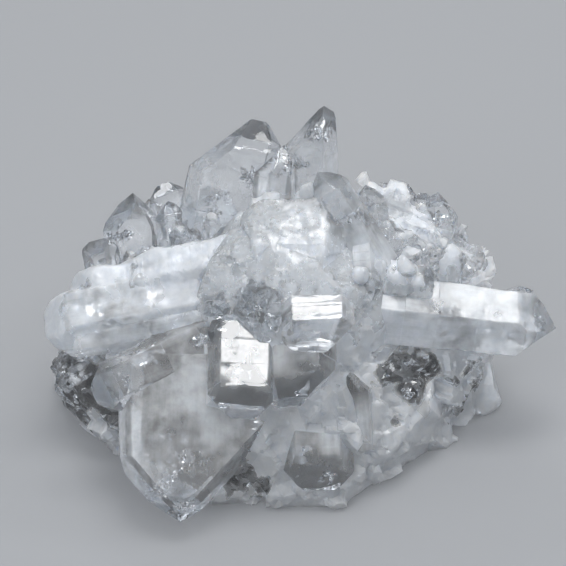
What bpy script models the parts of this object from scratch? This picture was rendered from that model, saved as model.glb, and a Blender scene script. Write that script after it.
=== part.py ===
"""Quartz crystal cluster: flat-faced quartz points grown together on a broken quartz foot, one solid.

Units are metres, +Z is up, and the flat underside of the foot lies at z = 0.
Crystals are laid out in the tilted plane in which the cluster is seen from the front: a place is
(across, up, toward) in millimetres, across to the right, up the tilted plane, and toward the eye.
"""

import math
import random

import bmesh
import bpy
from mathutils import Vector

MM = 0.001
VIEW_TILT = math.radians(40)  # the eye looks down on the cluster by this angle
RHOMB_ANGLE = math.radians(51.8)  # between a quartz end face's normal and the long axis
TAPER = math.radians(1.2)  # lean of the long faces towards the tip
HEART = Vector((-1.0, 4.0, 14.0))  # where the points of the far side grow from
QUARTZ_COLOUR = (0.86, 0.88, 0.92, 1.0)
QUARTZ_ROUGHNESS = 0.06
QUARTZ_TRANSMISSION = 0.8
QUARTZ_IOR = 1.55

# How far each of the six end faces stands off the tip, as a share of the width. The first belongs to the
# broad face, and the rest follow round the point. A face with 0 reaches the tip and is the largest.
FRONT_LED = (0, 0.09, 0, 0.09, 0, 0.09)
SIDES_LED = (0.07, 0, 0.07, 0, 0.07, 0)
ROOF = (0, 0.14, 0.14, 0, 0.14, 0.14)
WIDE_ROOF = (0, 0.21, 0.21, 0, 0.21, 0.21)
NARROW_ROOF = (0, 0.07, 0.07, 0, 0.07, 0.07)
BROAD_POINT = (0.07, 0.05, 0.09, 0, 0.07, 0)
END_SPREAD = (0.6, 1.4)  # each end face varies by such a factor

# The named points: name, tip, root, width across corners, thickness between the two broad faces, where the
# broad face looks, how far the tip sits off the middle line sideways, and the pattern of the end faces.
POINTS = [
    # The lower front, with the largest point of all
    ("great_point", (-16.8, -13.8, 22), (-12.6, 11, 17), 25.6, 6.2, (0.1, 0, 1), 4.2, BROAD_POINT),
    ("great_point_back", (-15.4, -12.6, 17.6), (-12.6, 12, 11), 21, 10, (0.1, 0, 1), 2.6, SIDES_LED),
    ("front_left", (-6.4, 1.7, 27), (-5.9, 15.2, 19.7), 11.2, 6.6, (0.05, 0.35, 1), 0.2, ROOF),
    ("front_middle", (0.9, 3.6, 26.8), (2.8, 19, 17.6), 11, 6.4, (-0.2, 0.35, 1), 1.8, ROOF),
    ("front_high", (4.8, 12.1, 31), (5.3, 19.1, 26.5), 11.2, 6, (-0.05, 0.35, 1), 0.6, ROOF),
    ("left_wedge", (-29.3, 5.3, 21), (-8, 15.4, 15), 8.8, 6.4, (0.1, 0.15, 1), 0, ROOF),
    ("foot_point", (5.4, -9.6, 18), (5.2, 10.6, 15), 11.6, 8, (0, 0.1, 1), 0, WIDE_ROOF),
    ("upright_blade", (10.4, 8.9, 20), (12.4, -3, 16), 4.2, 4, (0.3, 0.1, 1), -1.2, FRONT_LED),
    # The arms, left and right
    ("left_arm", (-37.6, 15.8, 12), (-3, 22.4, 15), 10.6, 8, (0.1, 0.5, 1), 0, ROOF),
    ("left_arm_low", (-34.8, 12.9, 13), (-10, 17.6, 16), 6, 5.6, (0, -0.1, 1), 0, ROOF),
    ("left_arm_high", (-33.6, 20.4, 10), (-3, 26.4, 15), 8.6, 7.6, (0.1, 0.5, 1), 0, ROOF),
    ("left_ridge", (-26.4, 22.4, 12), (2, 28.4, 17), 9, 7, (0.1, 0.6, 1), 0, ROOF),
    ("right_arm", (42.9, 15.5, 10), (13.6, 18.7, 12), 12, 10.4, (0.05, 0.5, 0.87), 0, FRONT_LED),
    ("right_arm_bud", (39.6, 21.4, 8), (32, 18.6, 9), 3.4, 3, (0, 0.4, 1), 0, SIDES_LED),
    ("right_shelf", (24.4, 21.4, 14), (11, 24.8, 16), 6.4, 6, (0.05, 0.5, 0.87), 0, ROOF),
    # The crown
    ("crown_dome", (1.4, 35.8, 19), (2, 12, 17), 17, 11, (-0.1, 0, 1), 0, WIDE_ROOF),
    ("crown_lean", (5.4, 39.8, 19), (14.7, 24.9, 15), 7, 6, (-0.25, 0.2, 1), 0, SIDES_LED),
    ("crown_striped", (12.8, 19.6, 20), (12.2, 30, 16), 5.4, 4.8, (-0.1, 0.2, 1), 0, ROOF),
    ("top_spire", (6.4, 50.3, 14), (4.4, 28, 9), 8.8, 7.4, (-0.1, 0.1, 1), 2.2, SIDES_LED),
    ("top_shard", (0.2, 44.2, 13), (-2.2, 28, 9), 7.2, 5.4, (0.3, 0, 1), 0.9, FRONT_LED),
    ("tall_clear", (-3.7, 48.2, 8), (-11.2, 24, 5), 14.2, 8, (0.1, 0.1, 1), 2.6, NARROW_ROOF),
    # Behind the left arm
    ("left_steeple", (-23.9, 36.9, 4), (-22.4, 16, 4), 10.2, 7, (0.2, 0.1, 1), 0.3, SIDES_LED),
    ("left_gable", (-29.4, 29.4, 6), (-25.6, 15, 7), 7.2, 5.4, (-0.1, 0, 1), -0.4, ROOF),
    ("left_back_low", (-19.2, 38.6, -3), (-14.5, 24, 0), 6.6, 4.4, (0, 0, 1), 0, ROOF),
    ("left_back_bud", (-21.6, 36.2, 0), (-17, 24, 1), 4, 3.2, (0.2, 0, 1), 0, SIDES_LED),
    ("left_slat", (-18.2, 35.6, 6), (-16.2, 22, 8), 5.2, 4, (0.3, 0.1, 1), 0, FRONT_LED),
    ("middle_slat", (-13.6, 34.8, 9), (-11.6, 22, 8), 6, 5, (0.1, 0.2, 1), 0, SIDES_LED),
    # Behind the right arm
    ("right_pane", (13, 38, 10), (15.2, 24, 9), 6, 4.4, (-0.3, 0, 1), 0, SIDES_LED),
    ("right_arch", (17.9, 38.3, 5), (17, 22, 5), 7.4, 4.6, (0.1, 0, 1), 0, WIDE_ROOF),
    ("right_bud", (22.2, 37, 4), (21.6, 24, 5), 3.6, 3, (0, 0, 1), 0, ROOF),
    ("right_gem", (24.5, 37, 7), (24.6, 24, 6), 5.6, 4.4, (0.2, 0.1, 1), -0.8, SIDES_LED),
    ("right_chip", (28.4, 31.6, 6), (26, 22, 6), 3, 2.6, (0, 0.2, 1), 0, FRONT_LED),
    ("right_slope", (33.8, 23.6, 6), (15, 30, 8), 8, 7.4, (0.2, 0.8, 0.6), 0, ROOF),
    ("right_slope_mid", (31, 26.9, 6), (13, 33, 7), 7, 6.4, (0.3, 0.7, 0.7), 0, SIDES_LED),
    ("right_slope_high", (28.6, 29.6, 5), (12, 36, 6), 6, 6, (0.3, 0.6, 0.8), 0, FRONT_LED),
    # Small points between the large ones at the front
    ("front_bud_left", (-11, 13.2, 22), (-8.6, 18, 18), 3.2, 2.8, (0.3, 0.4, 1), 0, SIDES_LED),
    ("front_bud_middle", (-3.2, 16.2, 26), (-3, 21, 20), 3.8, 3.4, (-0.2, 0.3, 1), 0, FRONT_LED),
    # The steep right side of the foot
    ("foot_flute_near", (17.6, -6.5, 11.5), (19.3, 12, 5), 12, 10, (0.2, 0.1, 1), 1.8, SIDES_LED),
    ("foot_flute_far", (27.4, -0.4, 2), (26.6, 13, 0), 8, 8, (0.4, 0.1, 1), 0, ROOF),
    ("foot_corner_right", (32, 1.4, -1), (30, 12.6, -6), 6.6, 6.4, (0.5, 0.2, 1), 0, ROOF),
    ("foot_corner_left", (-31.1, -1.2, 2), (-24, 12, 3), 12, 10, (-0.3, 0.2, 1), 0, ROOF),
    ("foot_shoulder_left", (-37, 6.9, -4), (-22, 13.6, 0), 9, 8, (-0.3, 0.4, 1), 0, WIDE_ROOF),
]

# Points of the far side, by compass: name, heading and pitch in degrees from the heart, length, width and
# thickness. A heading of 90 is straight away from the eye and 0 is to the right.
FAR_POINTS = [
    ("back_great", 82, -9, 29, 15, 10),
    ("back_left_long", 122, -4, 33, 10, 8),
    ("back_left_short", 146, 4, 33, 8, 6),
    ("back_right_long", 52, -3, 34, 11, 8),
    ("back_right_short", 28, 2, 33, 8, 7),
    ("back_crown_left", 118, 26, 29, 8, 6),
    ("back_crown_right", 66, 28, 30, 9, 7),
    ("back_low_left", 104, -20, 27, 10, 9),
    ("back_low_right", 64, -18, 28, 11, 9),
    ("back_side_left", 160, -14, 33, 11, 9),
    ("back_side_right", 12, -14, 33, 10, 8),
]
FAR_ROOT = 4  # how far from the heart such a point begins
FAR_TURN = (-0.4, 0.4)  # how far its broad face turns sideways

# Broken lumps of the foot: centre and radii in the upright frame, and how many flat breaks each has.
LUMPS = [
    ((-2, 3, 6), (30, 21, 19), 46),
    ((-21, 5, 7), (15, 14, 11), 30),
    ((20, 8, 8), (13, 12, 14), 30),
    ((2, -5, 2), (15, 15.4, 6.4), 34),
    ((1, 4.4, 18), (17, 15.4, 19.5), 54),
]
BREAK_TURN = (-0.3, 0.3)  # how far a break strays from its even place round the lump, in radians
BREAK_DEPTH = (0.94, 1.0)  # how far out a break lies, as a share of the egg's surface

# Small points scattered over the far side of the heart: how many, and the ranges of their headings,
# widths and so on.
BUD_COUNT = 26
BUD_HEADINGS = (10, 170)
BUD_WIDTHS = (2.4, 4.6)
BUD_STRAY = (-6, 6)  # degrees off its even heading
BUD_PITCHES = (-5, 40)
BUD_REACH = (20, 9, 4)  # where buds begin, as radii of an egg round the heart
BUD_LENGTHS = (8, 13)
SMALL_THICKNESS = 0.8  # thickness of a small point as a share of its width

# Crusts of tiny points along a line: name, line start and end, where they point, how many, and how far
# they stray from it.
CRUSTS = [
    ("right_slope_crust", (15, 30, 12), (29, 24.5, 10), (0.4, 0.5, 0.8), 12, 1.4),
    ("right_arm_crust", (12, 23, 19), (20, 24, 16), (0.2, 0.6, 0.8), 6, 1.2),
    ("crown_crust", (-5, 33, 15), (4, 36, 15), (0, 0.8, 0.4), 6, 1.6),
    ("left_back_crust", (-24, 26, 8), (-9, 31, 12), (-0.3, 0.9, 0.3), 10, 1.6),
]
CRUST_WIDTHS = (2.2, 3.6)
CRUST_REACHES = (0.5, 1.1)  # how far a tip stands out, in its own widths
CRUST_ROOT = 1.5  # how deep it is rooted, in its own widths
CRUST_LEAN = (-0.5, 0.5)  # how far a tip leans off the way the crust points

# Broken ledges round the rim of the foot: how many, the rim's middle and radii, and the ranges of their
# sizes and heights.
LEDGE_COUNT = 30
LEDGE_RIM = ((-1.5, 5.5), (31, 20.5))
LEDGE_SIZES = (2.2, 4.4)
LEDGE_HEIGHTS = (1, 8)
LEDGE_BREAKS = 14
LEDGE_STRAY = (-0.3, 0.3)  # off its even place, as a share of the gap between ledges
LEDGE_REACH = (0.84, 0.97)  # how far out a ledge's middle lies, as a share of the rim's radii

TRIM_SIZE = 200  # side of the block that trims the underside
SEED = 7


def upright(place):
    """The upright-frame place of one given as (across, up, toward)."""
    across, up, toward = place
    sine, cosine = math.sin(VIEW_TILT), math.cos(VIEW_TILT)
    return Vector((across, up * sine - toward * cosine, up * cosine + toward * sine))


def toward_compass(heading, pitch):
    """The unit direction of a heading and a pitch in degrees."""
    turn, rise = math.radians(heading), math.radians(pitch)
    return Vector((math.cos(turn) * math.cos(rise), math.sin(turn) * math.cos(rise), math.sin(rise)))


def cut_block(planes, middle, reach):
    """A mesh of the block round middle that is left after cuts along planes of (point, outward normal)."""
    solid = bmesh.new()
    bmesh.ops.create_cube(solid, size=2 * reach)
    bmesh.ops.translate(solid, verts=solid.verts, vec=middle)
    for point, normal in planes:
        geometry = solid.verts[:] + solid.edges[:] + solid.faces[:]
        cut = bmesh.ops.bisect_plane(
            solid, geom=geometry, dist=1e-7, plane_co=point, plane_no=normal, clear_outer=True
        )
        rim = [item for item in cut["geom_cut"] if isinstance(item, bmesh.types.BMEdge)]
        bmesh.ops.holes_fill(solid, edges=rim, sides=0)
    bmesh.ops.recalc_face_normals(solid, faces=solid.faces)
    return solid


def crystal_planes(tip, root, width, thickness, look, off_middle, shoulders):
    """The twelve growth faces of a quartz point and its root end. All lengths are millimetres."""
    rough_axis = (tip - root).normalized()
    side = rough_axis.cross(look).normalized()
    centre = tip - side * off_middle
    axis = (centre - root).normalized()
    front = (look - axis * look.dot(axis)).normalized()
    side = axis.cross(front)
    middle = (centre + root) / 2
    corner_flat = width / 2 * math.cos(math.radians(30))
    planes = [(root, -axis)]
    for step in range(6):
        angle = math.radians(90 + 60 * step)
        radial = side * math.cos(angle) + front * math.sin(angle)
        distance = thickness / 2 if step % 3 == 0 else corner_flat
        long_face = (radial * math.cos(TAPER) + axis * math.sin(TAPER)).normalized()
        planes.append((middle + radial * distance, long_face))
        end_face = (radial * math.sin(RHOMB_ANGLE) + axis * math.cos(RHOMB_ANGLE)).normalized()
        planes.append((tip + end_face * shoulders[step] * width, end_face))
    return planes


def crystal_object(name, tip, root, width, thickness, look, off_middle, ends, chance):
    """One quartz point as an object, with end faces of unequal size."""
    shoulders = [share * chance.uniform(*END_SPREAD) for share in ends]
    planes = crystal_planes(tip, root, width, thickness, look, off_middle, shoulders)
    reach = (tip - root).length + width
    return helper_object(name, cut_block(planes, (tip + root) / 2, reach))


def lump_object(name, middle, radii, breaks, chance):
    """A broken lump: an egg shape cut all over by flat breaks, and cut flat at z = 0 underneath."""
    planes = [(Vector((0, 0, 0)), Vector((0, 0, -1)))]
    golden_turn = math.pi * (3 - math.sqrt(5))
    for step in range(breaks):
        height = 1 - 2 * (step + 0.5) / breaks
        ring = math.sqrt(1 - height * height)
        turn = step * golden_turn + chance.uniform(*BREAK_TURN)
        normal = Vector((ring * math.cos(turn), ring * math.sin(turn), height)).normalized()
        on_egg = Vector(r * r * n for r, n in zip(radii, normal))
        reach = math.sqrt(sum((r * n) ** 2 for r, n in zip(radii, normal)))
        planes.append((middle + on_egg / reach * chance.uniform(*BREAK_DEPTH), normal))
    return helper_object(name, cut_block(planes, middle, 2 * max(radii)))


def helper_object(name, solid):
    """An object of this bmesh in millimetres, which only the union uses."""
    bmesh.ops.scale(solid, verts=solid.verts, vec=(MM, MM, MM))
    mesh = bpy.data.meshes.new(name)
    solid.to_mesh(mesh)
    solid.free()
    helper = bpy.data.objects.new(name, mesh)
    helper.hide_render = True
    helper.display_type = "WIRE"
    return helper


def named_points(chance):
    for name, tip, root, width, thickness, look, off_middle, ends in POINTS:
        places = [upright(place) for place in (tip, root)]
        yield crystal_object(name, *places, width, thickness, upright(look), off_middle, ends, chance)


def far_points(chance):
    for name, heading, pitch, length, width, thickness in FAR_POINTS:
        direction = toward_compass(heading, pitch)
        tip = HEART + direction * length
        root = HEART + direction * FAR_ROOT
        look = Vector((chance.uniform(*FAR_TURN), 0, 1))
        ends = chance.choice((FRONT_LED, SIDES_LED, ROOF))
        yield crystal_object(name, tip, root, width, thickness, look, 0, ends, chance)


def buds(chance):
    """Small points that stand a little way out of the heart between the large ones of the far side."""
    first, last = BUD_HEADINGS
    for number in range(BUD_COUNT):
        share = number / (BUD_COUNT - 1)
        heading = first + share * (last - first) + chance.uniform(*BUD_STRAY)
        direction = toward_compass(heading, chance.uniform(*BUD_PITCHES))
        foot = HEART + direction * Vector(BUD_REACH)
        width = chance.uniform(*BUD_WIDTHS)
        tip = foot + direction * chance.uniform(*BUD_LENGTHS)
        look = Vector((chance.uniform(-1, 1), -0.5, 1))
        name = f"bud_{number:02d}"
        thickness = width * SMALL_THICKNESS
        yield crystal_object(name, tip, foot, width, thickness, look, 0, SIDES_LED, chance)


def crusts(chance):
    """Tiny points that cover a stretch of the cluster between larger ones."""
    for name, start, end, facing, count, spread in CRUSTS:
        for number in range(count):
            share = (number + 0.5) / count
            foot = upright(start).lerp(upright(end), share)
            foot += Vector(chance.uniform(-spread, spread) for _ in range(3))
            direction = upright(facing).normalized()
            direction += Vector(chance.uniform(*CRUST_LEAN) for _ in range(3))
            direction.normalize()
            width = chance.uniform(*CRUST_WIDTHS)
            look = Vector((chance.uniform(-1, 1), -1, 0.6))
            tip = foot + direction * width * chance.uniform(*CRUST_REACHES)
            root = foot - direction * width * CRUST_ROOT
            thickness = width * SMALL_THICKNESS
            one = f"{name}_{number:02d}"
            yield crystal_object(one, tip, root, width, thickness, look, 0, SIDES_LED, chance)


def foot_lumps(chance):
    for number, (middle, radii, breaks) in enumerate(LUMPS):
        yield lump_object(f"foot_lump_{number}", Vector(middle), radii, breaks, chance)


def foot_ledges(chance):
    """Small broken blocks that make the rim of the foot uneven."""
    (middle_x, middle_y), (radius_x, radius_y) = LEDGE_RIM
    for number in range(LEDGE_COUNT):
        turn = (number + chance.uniform(*LEDGE_STRAY)) * 2 * math.pi / LEDGE_COUNT
        reach = chance.uniform(*LEDGE_REACH)
        middle = Vector((
            middle_x + radius_x * reach * math.cos(turn),
            middle_y + radius_y * reach * math.sin(turn),
            chance.uniform(*LEDGE_HEIGHTS),
        ))
        radii = [chance.uniform(*LEDGE_SIZES) for _ in range(3)]
        yield lump_object(f"foot_ledge_{number:02d}", middle, radii, LEDGE_BREAKS, chance)


def keep_outer_skin(mesh):
    """Fills any sealed pocket between crystals: only the largest connected skin is kept."""
    skin = bmesh.new()
    skin.from_mesh(mesh)
    unseen = set(skin.faces)
    shells = []
    while unseen:
        front = [unseen.pop()]
        shell = list(front)
        while front:
            face = front.pop()
            near = {other for edge in face.edges for other in edge.link_faces if other in unseen}
            unseen -= near
            front.extend(near)
            shell.extend(near)
        shells.append(shell)
    largest = max(shells, key=lambda shell: sum(face.calc_area() for face in shell))
    inner = [face for shell in shells if shell is not largest for face in shell]
    bmesh.ops.delete(skin, geom=inner, context="FACES")
    skin.to_mesh(mesh)
    skin.free()


def stand_on_origin(mesh):
    """Moves the mesh sideways until the middle of its box is over the origin, with its underside at z = 0."""
    for side in range(2):
        places = [vertex.co[side] for vertex in mesh.vertices]
        shift = (min(places) + max(places)) / 2
        for vertex in mesh.vertices:
            vertex.co[side] -= shift


def quartz_material():
    material = bpy.data.materials.new("clear_quartz")
    material.use_nodes = True
    shader = material.node_tree.nodes["Principled BSDF"]
    shader.inputs["Base Color"].default_value = QUARTZ_COLOUR
    shader.inputs["Roughness"].default_value = QUARTZ_ROUGHNESS
    shader.inputs["Metallic"].default_value = 0.0
    shader.inputs["Transmission Weight"].default_value = QUARTZ_TRANSMISSION
    shader.inputs["IOR"].default_value = QUARTZ_IOR
    return material


def floor_block():
    """A block under z = 0 that trims whatever reaches below the foot's flat underside."""
    solid = bmesh.new()
    bmesh.ops.create_cube(solid, size=TRIM_SIZE)
    bmesh.ops.translate(solid, verts=solid.verts, vec=(0, 0, -TRIM_SIZE / 2))
    return helper_object("floor_trim", solid)


def apply_boolean(target, operation, operand):
    """Runs one Boolean against an object or a collection and keeps its result as the object's mesh."""
    boolean = target.modifiers.new(operation.title(), "BOOLEAN")
    boolean.operation = operation
    boolean.solver = "EXACT"
    if isinstance(operand, bpy.types.Collection):
        boolean.operand_type = "COLLECTION"
        boolean.collection = operand
    else:
        boolean.object = operand
    bpy.context.view_layer.update()
    evaluated = target.evaluated_get(bpy.context.evaluated_depsgraph_get())
    joined = bpy.data.meshes.new_from_object(evaluated)
    target.modifiers.clear()
    target.data = joined


def build():
    for old in list(bpy.data.objects):
        bpy.data.objects.remove(old)
    chance = random.Random(SEED)
    lumps = list(foot_lumps(chance))
    grown = lumps[1:]
    for kind in (named_points, far_points, buds, crusts, foot_ledges):
        grown.extend(kind(chance))

    helpers = bpy.data.collections.new("grown_together")
    bpy.context.scene.collection.children.link(helpers)
    for piece in grown:
        helpers.objects.link(piece)
    trim = floor_block()
    bpy.context.scene.collection.objects.link(trim)

    cluster = bpy.data.objects.new("quartz_cluster", lumps[0].data.copy())
    bpy.context.scene.collection.objects.link(cluster)
    apply_boolean(cluster, "UNION", helpers)
    apply_boolean(cluster, "DIFFERENCE", trim)
    keep_outer_skin(cluster.data)
    stand_on_origin(cluster.data)
    cluster.data.materials.clear()
    cluster.data.materials.append(quartz_material())
    for helper in grown + [trim, lumps[0]]:
        bpy.data.objects.remove(helper)
    bpy.data.collections.remove(helpers)


build()
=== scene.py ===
"""Looks of the quartz crystal cluster: clear and milky points grown together on a broken quartz foot.

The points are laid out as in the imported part, in millimetres in the tilted plane in which the cluster is
seen from the front: across to the right, up the tilted plane, and toward the eye. Each gets growth bands,
clipped edges and healed cracks inside, all are joined, and the broken foot is roughened.
"""

import math
import random

import bmesh
import bpy
import numpy as np
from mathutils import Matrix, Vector, noise
from mathutils.bvhtree import BVHTree
from mathutils.kdtree import KDTree


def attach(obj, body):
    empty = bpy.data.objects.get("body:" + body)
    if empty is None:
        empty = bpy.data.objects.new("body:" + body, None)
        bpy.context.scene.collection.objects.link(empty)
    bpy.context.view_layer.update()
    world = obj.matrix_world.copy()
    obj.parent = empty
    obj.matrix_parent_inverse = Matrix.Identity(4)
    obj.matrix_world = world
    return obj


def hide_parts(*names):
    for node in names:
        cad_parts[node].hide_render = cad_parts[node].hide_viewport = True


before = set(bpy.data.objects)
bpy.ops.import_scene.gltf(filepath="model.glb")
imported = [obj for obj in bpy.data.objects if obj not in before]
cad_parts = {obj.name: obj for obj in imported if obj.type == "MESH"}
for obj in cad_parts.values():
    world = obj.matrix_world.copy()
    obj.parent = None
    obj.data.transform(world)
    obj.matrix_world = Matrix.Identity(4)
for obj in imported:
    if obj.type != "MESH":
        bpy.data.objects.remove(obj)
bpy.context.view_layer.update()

MM = 0.001
NODE = "quartz_cluster"
VIEW_TILT = math.radians(40)  # the eye looks down on the cluster by this angle
RHOMB_ANGLE = math.radians(51.8)  # between a quartz end face's normal and the long axis
TAPER = math.radians(1.2)  # lean of the long faces towards the tip
HEART = Vector((-1.0, 4.0, 14.0))  # where the points of the far side grow from

# The photograph: its width in pixels, millimetres to the pixel, the camera's distance, and the middle of the
# picture as a height up the tilted plane.
PHOTO_PIXELS = 566
PIXEL = 0.16
CAMERA_DISTANCE = 600
PICTURE_MIDDLE_UP = 22.56
SENSOR = 36

# How far each of the six end faces stands off the tip, as a share of the width. The first belongs to the
# broad face, and the rest follow round the point. A face with 0 reaches the tip and is the largest.
FRONT_LED = (0, 0.09, 0, 0.09, 0, 0.09)
SIDES_LED = (0.07, 0, 0.07, 0, 0.07, 0)
ROOF = (0, 0.14, 0.14, 0, 0.14, 0.14)
WIDE_ROOF = (0, 0.21, 0.21, 0, 0.21, 0.21)
NARROW_ROOF = (0, 0.07, 0.07, 0, 0.07, 0.07)
BROAD_POINT = (0.07, 0.05, 0.09, 0, 0.07, 0)

# The named points: name, tip, root, width across corners, thickness between the two broad faces, where the
# broad face looks, how far the tip sits off the middle line sideways, the pattern of the end faces, and how
# milky the point is, from 0 for clear to 1.
POINTS = [
    # The lower front, with the largest point of all
    ("great_point", (-16.8, -13.8, 22), (-12.6, 11, 17), 25.6, 6.2, (0.1, 0, 1), 4.2, BROAD_POINT, 0.4),
    ("great_point_back", (-15.4, -12.6, 17.6), (-12.6, 12, 11), 21, 10, (0.1, 0, 1), 2.6, SIDES_LED, 0.4),
    ("front_left", (-6.4, 1.7, 27), (-5.9, 15.2, 19.7), 11.2, 6.6, (0.05, 0.35, 1), 0.2, ROOF, 0.3),
    ("front_middle", (0.9, 3.6, 26.8), (2.8, 19, 17.6), 11, 6.4, (-0.2, 0.35, 1), 1.8, ROOF, 0.3),
    ("front_high", (4.8, 12.1, 31), (5.3, 19.1, 26.5), 11.2, 6, (-0.05, 0.35, 1), 0.6, ROOF, 0.25),
    ("left_wedge", (-29.3, 5.3, 21), (-8, 15.4, 15), 8.8, 6.4, (0.1, 0.15, 1), 0, ROOF, 0.25),
    ("foot_point", (5.4, -9.6, 18), (5.2, 10.6, 15), 11.6, 8, (0, 0.1, 1), 0, WIDE_ROOF, 0.58),
    ("upright_blade", (10.4, 8.9, 20), (12.4, -3, 16), 4.2, 4, (0.3, 0.1, 1), -1.2, FRONT_LED, 0.55),
    # The arms, left and right
    ("left_arm", (-37.6, 15.8, 12), (-3, 22.4, 15), 10.6, 8, (0.1, 0.5, 1), 0, ROOF, 0.66),
    ("left_arm_low", (-34.8, 12.9, 13), (-10, 17.6, 16), 6, 5.6, (0, -0.1, 1), 0, ROOF, 0.6),
    ("left_arm_high", (-33.6, 20.4, 10), (-3, 26.4, 15), 8.6, 7.6, (0.1, 0.5, 1), 0, ROOF, 0.68),
    ("left_ridge", (-26.4, 22.4, 12), (2, 28.4, 17), 9, 7, (0.1, 0.6, 1), 0, ROOF, 0.68),
    ("right_arm", (42.9, 15.5, 10), (13.6, 18.7, 12), 12, 10.4, (0.05, 0.5, 0.87), 0, FRONT_LED, 0.55),
    ("right_arm_bud", (39.6, 21.4, 8), (32, 18.6, 9), 3.4, 3, (0, 0.4, 1), 0, SIDES_LED, 0.1),
    ("right_shelf", (24.4, 21.4, 14), (11, 24.8, 16), 6.4, 6, (0.05, 0.5, 0.87), 0, ROOF, 0.85),
    # The crown
    ("crown_dome", (1.4, 35.8, 19), (2, 12, 17), 17, 11, (-0.1, 0, 1), 0, WIDE_ROOF, 0.6),
    ("crown_lean", (5.4, 39.8, 19), (14.7, 24.9, 15), 7, 6, (-0.25, 0.2, 1), 0, SIDES_LED, 0.5),
    ("crown_striped", (12.8, 19.6, 20), (12.2, 30, 16), 5.4, 4.8, (-0.1, 0.2, 1), 0, ROOF, 0.5),
    ("top_spire", (6.4, 50.3, 14), (4.4, 28, 9), 8.8, 7.4, (-0.1, 0.1, 1), 2.2, SIDES_LED, 0.3),
    ("top_shard", (0.2, 44.2, 13), (-2.2, 28, 9), 7.2, 5.4, (0.3, 0, 1), 0.9, FRONT_LED, 0.3),
    ("tall_clear", (-3.7, 48.2, 8), (-11.2, 24, 5), 14.2, 8, (0.1, 0.1, 1), 2.6, NARROW_ROOF, 0.1),
    # Behind the left arm
    ("left_steeple", (-23.9, 36.9, 4), (-22.4, 16, 4), 10.2, 7, (0.2, 0.1, 1), 0.3, SIDES_LED, 0.15),
    ("left_gable", (-29.4, 29.4, 6), (-25.6, 15, 7), 7.2, 5.4, (-0.1, 0, 1), -0.4, ROOF, 0.1),
    ("left_back_low", (-19.2, 38.6, -3), (-14.5, 24, 0), 6.6, 4.4, (0, 0, 1), 0, ROOF, 0.3),
    ("left_back_bud", (-21.6, 36.2, 0), (-17, 24, 1), 4, 3.2, (0.2, 0, 1), 0, SIDES_LED, 0.3),
    ("left_slat", (-18.2, 35.6, 6), (-16.2, 22, 8), 5.2, 4, (0.3, 0.1, 1), 0, FRONT_LED, 0.2),
    ("middle_slat", (-13.6, 34.8, 9), (-11.6, 22, 8), 6, 5, (0.1, 0.2, 1), 0, SIDES_LED, 0.3),
    # Behind the right arm
    ("right_pane", (13, 38, 10), (15.2, 24, 9), 6, 4.4, (-0.3, 0, 1), 0, SIDES_LED, 0.1),
    ("right_arch", (17.9, 38.3, 5), (17, 22, 5), 7.4, 4.6, (0.1, 0, 1), 0, WIDE_ROOF, 0.1),
    ("right_bud", (22.2, 37, 4), (21.6, 24, 5), 3.6, 3, (0, 0, 1), 0, ROOF, 0.2),
    ("right_gem", (24.5, 37, 7), (24.6, 24, 6), 5.6, 4.4, (0.2, 0.1, 1), -0.8, SIDES_LED, 0.1),
    ("right_chip", (28.4, 31.6, 6), (26, 22, 6), 3, 2.6, (0, 0.2, 1), 0, FRONT_LED, 0.2),
    ("right_slope", (33.8, 23.6, 6), (15, 30, 8), 8, 7.4, (0.2, 0.8, 0.6), 0, ROOF, 0.95),
    ("right_slope_mid", (31, 26.9, 6), (13, 33, 7), 7, 6.4, (0.3, 0.7, 0.7), 0, SIDES_LED, 0.95),
    ("right_slope_high", (28.6, 29.6, 5), (12, 36, 6), 6, 6, (0.3, 0.6, 0.8), 0, FRONT_LED, 0.95),
    # Small points between the large ones at the front
    ("front_bud_left", (-11, 13.2, 22), (-8.6, 18, 18), 3.2, 2.8, (0.3, 0.4, 1), 0, SIDES_LED, 0.2),
    ("front_bud_middle", (-3.2, 16.2, 26), (-3, 21, 20), 3.8, 3.4, (-0.2, 0.3, 1), 0, FRONT_LED, 0.2),
    # The steep right side of the foot
    ("foot_flute_near", (17.6, -6.5, 11.5), (19.3, 12, 5), 12, 10, (0.2, 0.1, 1), 1.8, SIDES_LED, 0.7),
    ("foot_flute_far", (27.4, -0.4, 2), (26.6, 13, 0), 8, 8, (0.4, 0.1, 1), 0, ROOF, 0.7),
    ("foot_corner_right", (32, 1.4, -1), (30, 12.6, -6), 6.6, 6.4, (0.5, 0.2, 1), 0, ROOF, 0.7),
    ("foot_corner_left", (-31.1, -1.2, 2), (-24, 12, 3), 12, 10, (-0.3, 0.2, 1), 0, ROOF, 0.7),
    ("foot_shoulder_left", (-37, 6.9, -4), (-22, 13.6, 0), 9, 8, (-0.3, 0.4, 1), 0, WIDE_ROOF, 0.7),
]

# Points of the far side, by compass: name, heading and pitch in degrees from the heart, length, width, thickness.
# A heading of 90 is straight away from the eye and 0 is to the right.
FAR_POINTS = [
    ("back_great", 82, -9, 29, 15, 10),
    ("back_left_long", 122, -4, 33, 10, 8),
    ("back_left_short", 146, 4, 33, 8, 6),
    ("back_right_long", 52, -3, 34, 11, 8),
    ("back_right_short", 28, 2, 33, 8, 7),
    ("back_crown_left", 118, 26, 29, 8, 6),
    ("back_crown_right", 66, 28, 30, 9, 7),
    ("back_low_left", 104, -20, 27, 10, 9),
    ("back_low_right", 64, -18, 28, 11, 9),
    ("back_side_left", 160, -14, 33, 11, 9),
    ("back_side_right", 12, -14, 33, 10, 8),
]
FAR_MILK = (0.1, 0.6)

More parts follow.
